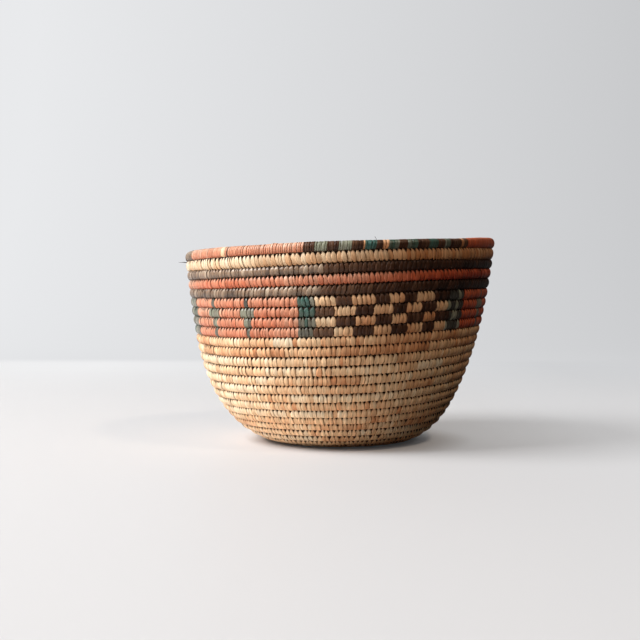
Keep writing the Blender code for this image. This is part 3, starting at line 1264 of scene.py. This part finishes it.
# %% Tones of red and brown leaf
# The red dye by degrees round the basket, paler on the lit left and deeper on the shaded right: painted
# light and shade.
RED_LIT_AND_SHADED = (
    [-180, -120, -80, -55, -30, -10, 8, 25, 45, 120, 180],
    [0.3, 0.5, 0.72, 0.62, 0.58, 0.68, 0.62, 0.34, 0.14, 0.14, 0.3],
)
RED_STRIPE = 4
STRIPE_DEEPER = (
    [-180, -84, -76, -58, -20, -18, 24, 26],
    [0.08, 0.08, -0.1, 0.08, 0.08, 0, 0, 0.08],
)
# The red rim is painted paler beyond 40 degrees, on the right edge where some light reaches round: painted
# light.
RIM_PALER, RIM_ODD_SHARE, RIM_ODD_PALER, RIM_PAINTED_LIGHT_RIGHT = 0.03, 0.1, 0.1, ([40, 60], [0, 0.08])
BROWN_STRIPES = (3, 5)
# Both brown tables run darker towards the shaded right; part of that is painted shade.
BROWN_STRIPE = ([0, 12, 30, 55, 110], [0.5, 0.36, 0.2, 0.1, 0.24])
BROWN_CHECKS = ([-90, -10, 10, 50, 110], [0.46, 0.42, 0.34, 0.2, 0.34])
WORN_ROWS, WORN_END, WORN_PALER = (7, 9), 2, 0.16  # brown checks left of this angle in degrees
BROWN_RIM = 0.34
UPPER_TAUPE, LOWER_TAUPE = 0.38, 0.32


def red_tones(at):
    """Red leaf: a deeper stripe, and a rim with some paler stitches."""
    painted_light = at.round_basket(RED_LIT_AND_SHADED)
    rim = painted_light + RIM_PALER + at.varied("red rim") + at.round_basket(RIM_PAINTED_LIGHT_RIGHT)
    rim = rim + np.where(at.odd > 1 - RIM_ODD_SHARE, RIM_ODD_PALER, 0)
    deeper = np.where(at.rows == RED_STRIPE, at.round_basket(STRIPE_DEEPER), 0)
    return np.where(at.rows == RIM_ROW, rim, painted_light + at.varied("red") - deeper)


def brown_tones(at):
    """Dark brown leaf."""
    worn = np.isin(at.rows, WORN_ROWS) & (at.degrees < WORN_END)
    checks = at.round_basket(BROWN_CHECKS) + np.where(worn, WORN_PALER, 0)
    tone = np.where(np.isin(at.rows, BROWN_STRIPES), at.round_basket(BROWN_STRIPE), checks)
    return np.where(at.rows == RIM_ROW, BROWN_RIM, tone) + at.varied("brown")


def taupe_tones(at):
    """Grey brown leaf, a little paler in the upper stripe."""
    upper = at.rows == min(BROWN_STRIPES)
    return np.where(upper, UPPER_TAUPE, LOWER_TAUPE) + at.varied("taupe")


print("red by degrees:", dict(zip(*RED_LIT_AND_SHADED)))

# %% Tones of green leaf
TEAL, TEAL_SHARE = 0.94, 0.3
DARK_OLIVE, DARK_OLIVE_TO, OLIVE = 0.4, 0.65, 0.5  # dark up to this share, and then the paler one
# Green leaf is painted darker towards the shaded right, and darker still between 30 and 70 degrees: painted
# shade.
GREEN_PAINTED_SHADE = ([-90, -10, 50, 110, 180], [0, 0.02, 0.3, 0.3, 0.1])
SHADED, SHADED_GREEN = (30, 70), 0.2  # degrees, and the olive leaf's tone there
CROSS_MIDDLE, CROSS_END = 0.52, 0.36
RIM_GREENS = (0.66, 0.64, 0.98, 0.87, 0.86, 0.88, 0.87)  # one tone for each green of the rim


def green_tones(at):
    """Green leaf: olive with some teal in the checked blocks, painted darker on the shaded right, olive
    crosses, and the rim's own.
    """
    olive = np.where(at.odd < DARK_OLIVE_TO, DARK_OLIVE, OLIVE)
    tone = np.where(at.odd < TEAL_SHARE, TEAL, olive) + at.varied("green")
    tone = tone - at.round_basket(GREEN_PAINTED_SHADE)
    shaded = (at.degrees > SHADED[0]) & (at.degrees < SHADED[1]) & (at.odd > TEAL_SHARE)
    tone = np.where(shaded, SHADED_GREEN + at.varied("shaded green"), tone)
    into = (at.degrees - CHECKED_START) % REPEAT
    cross = np.where(np.isin(at.rows, list(CROSS_HALF_WIDTHS)), CROSS_MIDDLE, CROSS_END)
    tone = np.where(into > CHECKED_WIDTH, cross + at.varied("cross"), tone)
    ends = [end for kind, end in RIM_COLOURS if kind == "green"]
    number = np.searchsorted(ends, into).clip(0, len(ends) - 1)
    rim = np.array(RIM_GREENS)[number] + at.varied("green rim")
    return np.where(at.rows == RIM_ROW, rim, tone)


TONES = {
    "cream": cream_tones,
    "natural": natural_tones,
    "red": red_tones,
    "taupe": taupe_tones,
    "brown": brown_tones,
    "green": green_tones,
}


def tones_of(feet, rows, kinds):
    """The tone of every stitch: where it lies on its leaf's colour ramp."""
    at = Stitches(feet, rows)
    tone = np.select([kinds == kind for kind in TONES], [tones(at) for tones in TONES.values()])
    return np.clip(tone, 0, 1)


print("tones for:", ", ".join(TONES))

# %% [markdown]
# ## All rows
#
# Now the rows can be sewn. Each row is a piece for every kind of leaf in it, and each piece takes the
# place of the solids that stood for it. Stitches could also be made one object each, but a few
# thousand objects are slow to handle, and nobody moves one stitch.

# %% Pieces
# A strip's top is painted paler and its foot darker, as light from above falls on them, and on the grey
# brown leaf the top is a painted highlight: painted light and shade. How far the tone changes from the
# middle to the top.
TOP_LIGHT_AND_SHADE = {"natural": -0.14, "cream": -0.14, "red": 0.19, "brown": 0.1, "taupe": 0.3, "green": 0}
STRIPE_NODES = {2: "cream_row", 3: "upper_brown_row", 4: "red_row", 5: "lower_brown_row"}
BLOCKS = (1, 2, 3)


def nodes_of(row, kind):
    """The CAD nodes that one row's leaf takes the place of."""
    block = "red" if kind == "red" else "checked"
    if row == RIM_ROW:
        tail = ["coil_tail"] if kind == "green" else []
        return [f"rim_{block}_block_{i}" for i in BLOCKS] + tail
    if row <= LAST_STRIPE:
        return [STRIPE_NODES[row]]
    if row <= LAST_BAND:
        return [f"band_row_{LAST_BAND + 1 - row}_{block}_block_{i}" for i in BLOCKS]
    bound = TURNS - row
    if bound >= PLAIN_TURNS - MIDDLE_WALL_ROWS:
        return ["middle_wall_coil"]
    if bound >= PLAIN_TURNS - MIDDLE_WALL_ROWS - LOWER_WALL_ROWS:
        return ["lower_wall_coil"]
    return ["heel_coil"] if bound >= BASE_TURNS else ["base_coil"]


def new_piece(name, mesh, material):
    """An object in the scene, of one mesh in one material."""
    mesh.materials.append(material)
    piece = bpy.data.objects.new(name, mesh)
    bpy.context.collection.objects.link(piece)
    return piece


print("the lowest band row's red leaf replaces", *nodes_of(LAST_BAND, "red"))


# %% Sewing
def half_widths(feet):
    """Each stitch reaches halfway to its neighbours: (left, right) in turns."""
    middle = np.diff(feet) / 2
    return np.append(middle[0], middle), np.append(middle, middle[-1])


def sew(feet, look, first_row):
    """Makes the pieces of all rows from first_row down: one for each row and kind of leaf."""
    rows = np.floor(TURNS - feet).astype(int) + 1
    left, right = half_widths(feet)
    lean = lean_of(feet, rows)
    kinds = kinds_of(feet, rows)
    tones = tones_of(feet, rows, kinds)
    for row in sorted(set(rows[rows >= first_row])):
        for kind in LEAVES:
            chosen = (rows == row) & (kinds == kind)
            if not chosen.any():
                continue
            name = f"row_{row:02d}_{kind}_stitches"
            shapes = (values[chosen] for values in (feet, left, right, lean))
            points = stitch_points(*shapes, look)
            mesh = stitch_mesh(name, points, tones[chosen], TOP_LIGHT_AND_SHADE[kind])
            bake_map(mesh, len(points))
            piece = new_piece(name, mesh, LEAVES[kind])
            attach(piece, "root")
            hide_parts(*nodes_of(row, kind))
            print(f"{name}: {len(points)} stitches")


sew(wall_feet, WALL_LOOK, RIM_ROW + 1)
sew(top_feet, RIM_LOOK, RIM_ROW)

# %% [markdown]
# ## Loose tips
#
# Where a strip of leaf is used up, its end is tucked under the next stitches. Two ends have come out
# again at the rim. They break the clean outline, as on any basket in use. They could be hairs from a
# particle system, but two tips want a place and a bend each, so each is a small tapered mesh.

# %% Loose tips of leaf
TIP_WIDTH, TIP_TAPER, TIP_POINTS, TIP_TONE = 0.0012, 0.85, 6, 0.1
TIP_SECTION = ((0, 1, 0), (0, -0.5, 0.6), (0, -0.5, -0.6))  # a thin triangle, in half widths
# Degrees, metres across the row and outwards, then how far the tip goes along x, y and z, how much
# it curls up, and its leaf.
LOOSE_TIPS = (
    (-82, -0.0034, 0.002, (-0.0068, -0.001, 0.0002), 0.0003, "brown"),
    (12.4, 0.003, 0.001, (-0.0014, -0.0004, 0.0022), 0.0004, "green"),
)


def loose_tip(name, degrees, across, out, way_out, curl, kind):
    """A strip that tapers to a point and bends a little."""
    start = coil_points(turn_at(RIM_ROW, degrees), across, out)
    along = np.linspace(0, 1, TIP_POINTS)[:, None]
    spine = start + along * np.array(way_out) + curl * np.sin(math.pi * along) * np.array([0, 0, 1])
    half = TIP_WIDTH / 2 * (1 - TIP_TAPER * along)
    points = np.stack([spine + half * np.array(side) for side in TIP_SECTION], axis=1)
    faces = [
        (3 * i + j, 3 * i + (j + 1) % 3, 3 * i + 3 + (j + 1) % 3, 3 * i + 3 + j)
        for i in range(TIP_POINTS - 1)
        for j in range(3)
    ]
    faces += [(2, 1, 0), (3 * TIP_POINTS - 3, 3 * TIP_POINTS - 2, 3 * TIP_POINTS - 1)]
    mesh = bpy.data.meshes.new(name)
    mesh.from_pydata(points.reshape(-1, 3).tolist(), [], faces)
    carry(mesh, "strip", np.zeros(points.shape), "FLOAT_VECTOR", "vector")
    carry(mesh, "tone", np.full(points.shape[:2], TIP_TONE))
    piece = new_piece(name, mesh, LEAVES[kind])
    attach(piece, "root")
    print(f"{name}: {kind} leaf")


for number, tip in enumerate(LOOSE_TIPS, 1):
    loose_tip(f"loose_tip_{number}", *tip)

# %% [markdown]
# ## The grass inside
#
# Between the stitches the bundle of grass shows, as small dark holes. It is one tube along the whole
# coil. It could be left out and the holes painted, but then they wouldn't change with the view.
# Its material is dry grass: matt, with stems that run along the coil, and much darker than dry grass in the
# open, which paints the shade in the holes.

# %% Grass material
STEM_WIDTH, STEM_LENGTH = 0.0007, 40  # a dry stem in metres, and its marks' length in widths
STEM_DETAIL = 2
# Painted shade: the grass is coloured far darker than dry grass in the open, as it looks deep in the holes.
GRASS_SHADE_TONES = ((NOISE_FROM, "#1E1108"), (NOISE_TO, "#4A2D17"))
GRASS_ROUGHNESS, GRASS_RELIEF, GRASS_STRENGTH = 0.75, 0.0003, 0.6


def grass_material():
    """Dry stems side by side, in dark brown tones: painted shade of the holes between the stitches."""
    made, tree, shader = new_material("dry_grass_in_painted_shade")
    stems = add(tree, "ShaderNodeAttribute", attribute_name="stems")
    links = [("Vector", stems.outputs["Vector"])]
    noise = add(tree, "ShaderNodeTexNoise", links, Scale=1, Detail=STEM_DETAIL).outputs["Fac"]
    ramp = add(tree, "ShaderNodeValToRGB", [(0, noise)])
    for element, (place, colour) in zip(ramp.color_ramp.elements, GRASS_SHADE_TONES):
        element.position, element.color = place, linear(colour)
    tree.links.new(ramp.outputs["Color"], shader.inputs["Base Color"])
    links = [("Height", noise)]
    relief = add(tree, "ShaderNodeBump", links, Strength=GRASS_STRENGTH, Distance=GRASS_RELIEF)
    tree.links.new(relief.outputs[0], shader.inputs["Normal"])
    shader.inputs["Roughness"].default_value = GRASS_ROUGHNESS
    return made


GRASS = grass_material()
print("grass material:", GRASS.name)

# %% Grass coil
GRASS_ACROSS, GRASS_OUT = 0.0038, 0.0028  # half its size; wide enough to close the gap between rows
GRASS_RIM = 0.0022
GRASS_SIDES, GRASS_STATIONS = 12, 96  # points round the bundle, and rings in a turn


def grass_coil(name, start, end, *nodes):
    """The bundle of grass between two places on the coil."""
    stations = np.linspace(start, end, int((end - start) * GRASS_STATIONS))
    angles = np.linspace(0, math.tau, GRASS_SIDES, endpoint=False)
    turn, around = np.meshgrid(stations, angles, indexing="ij")
    across = GRASS_ACROSS * np.sin(around)
    # Nothing is sewn over the last turn, so its top stays inside the binding.
    across = np.where(turn > TURNS - 1, np.minimum(across, GRASS_RIM), across)
    points = coil_points(turn, across, GRASS_OUT * np.cos(around))
    rings, sides = turn.shape
    faces = [
        (i * sides + j, i * sides + (j + 1) % sides, (i + 1) * sides + (j + 1) % sides, (i + 1) * sides + j)
        for i in range(rings - 1)
        for j in range(sides)
    ]
    faces += [tuple(range(sides))[::-1], tuple(range((rings - 1) * sides, rings * sides))]
    mesh = bpy.data.meshes.new(name)
    mesh.from_pydata(points.reshape(-1, 3).tolist(), [], faces)
    mesh.shade_smooth()
    length = turn * math.tau * on_route(turn)[0]
    stems = [np.sin(around) * HALF_ROW, np.cos(around) * HALF_THICK, length / STEM_LENGTH]
    carry(mesh, "stems", np.stack(stems, axis=-1) / STEM_WIDTH, "FLOAT_VECTOR", "vector")
    piece = new_piece(name, mesh, GRASS)
    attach(piece, "root")
    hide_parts(*nodes)
    print(f"{name}: {end - start:.2f} turns")


grass_coil("grass_of_the_base", 0.0, BASE_TURNS, "base_coil")
wall_nodes = ("heel_coil", "lower_wall_coil", "middle_wall_coil")
grass_coil("grass_of_the_wall", BASE_TURNS, PLAIN_TURNS, *wall_nodes)
grass_coil("grass_of_the_band_and_rim", PLAIN_TURNS, TURNS, "upper_grass_coil")

# %% Sizes
visual_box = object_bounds()
plain = [[[float(v) for v in corner] for corner in box] for box in (cad_box, visual_box)]
print("visual box:", visual_box)
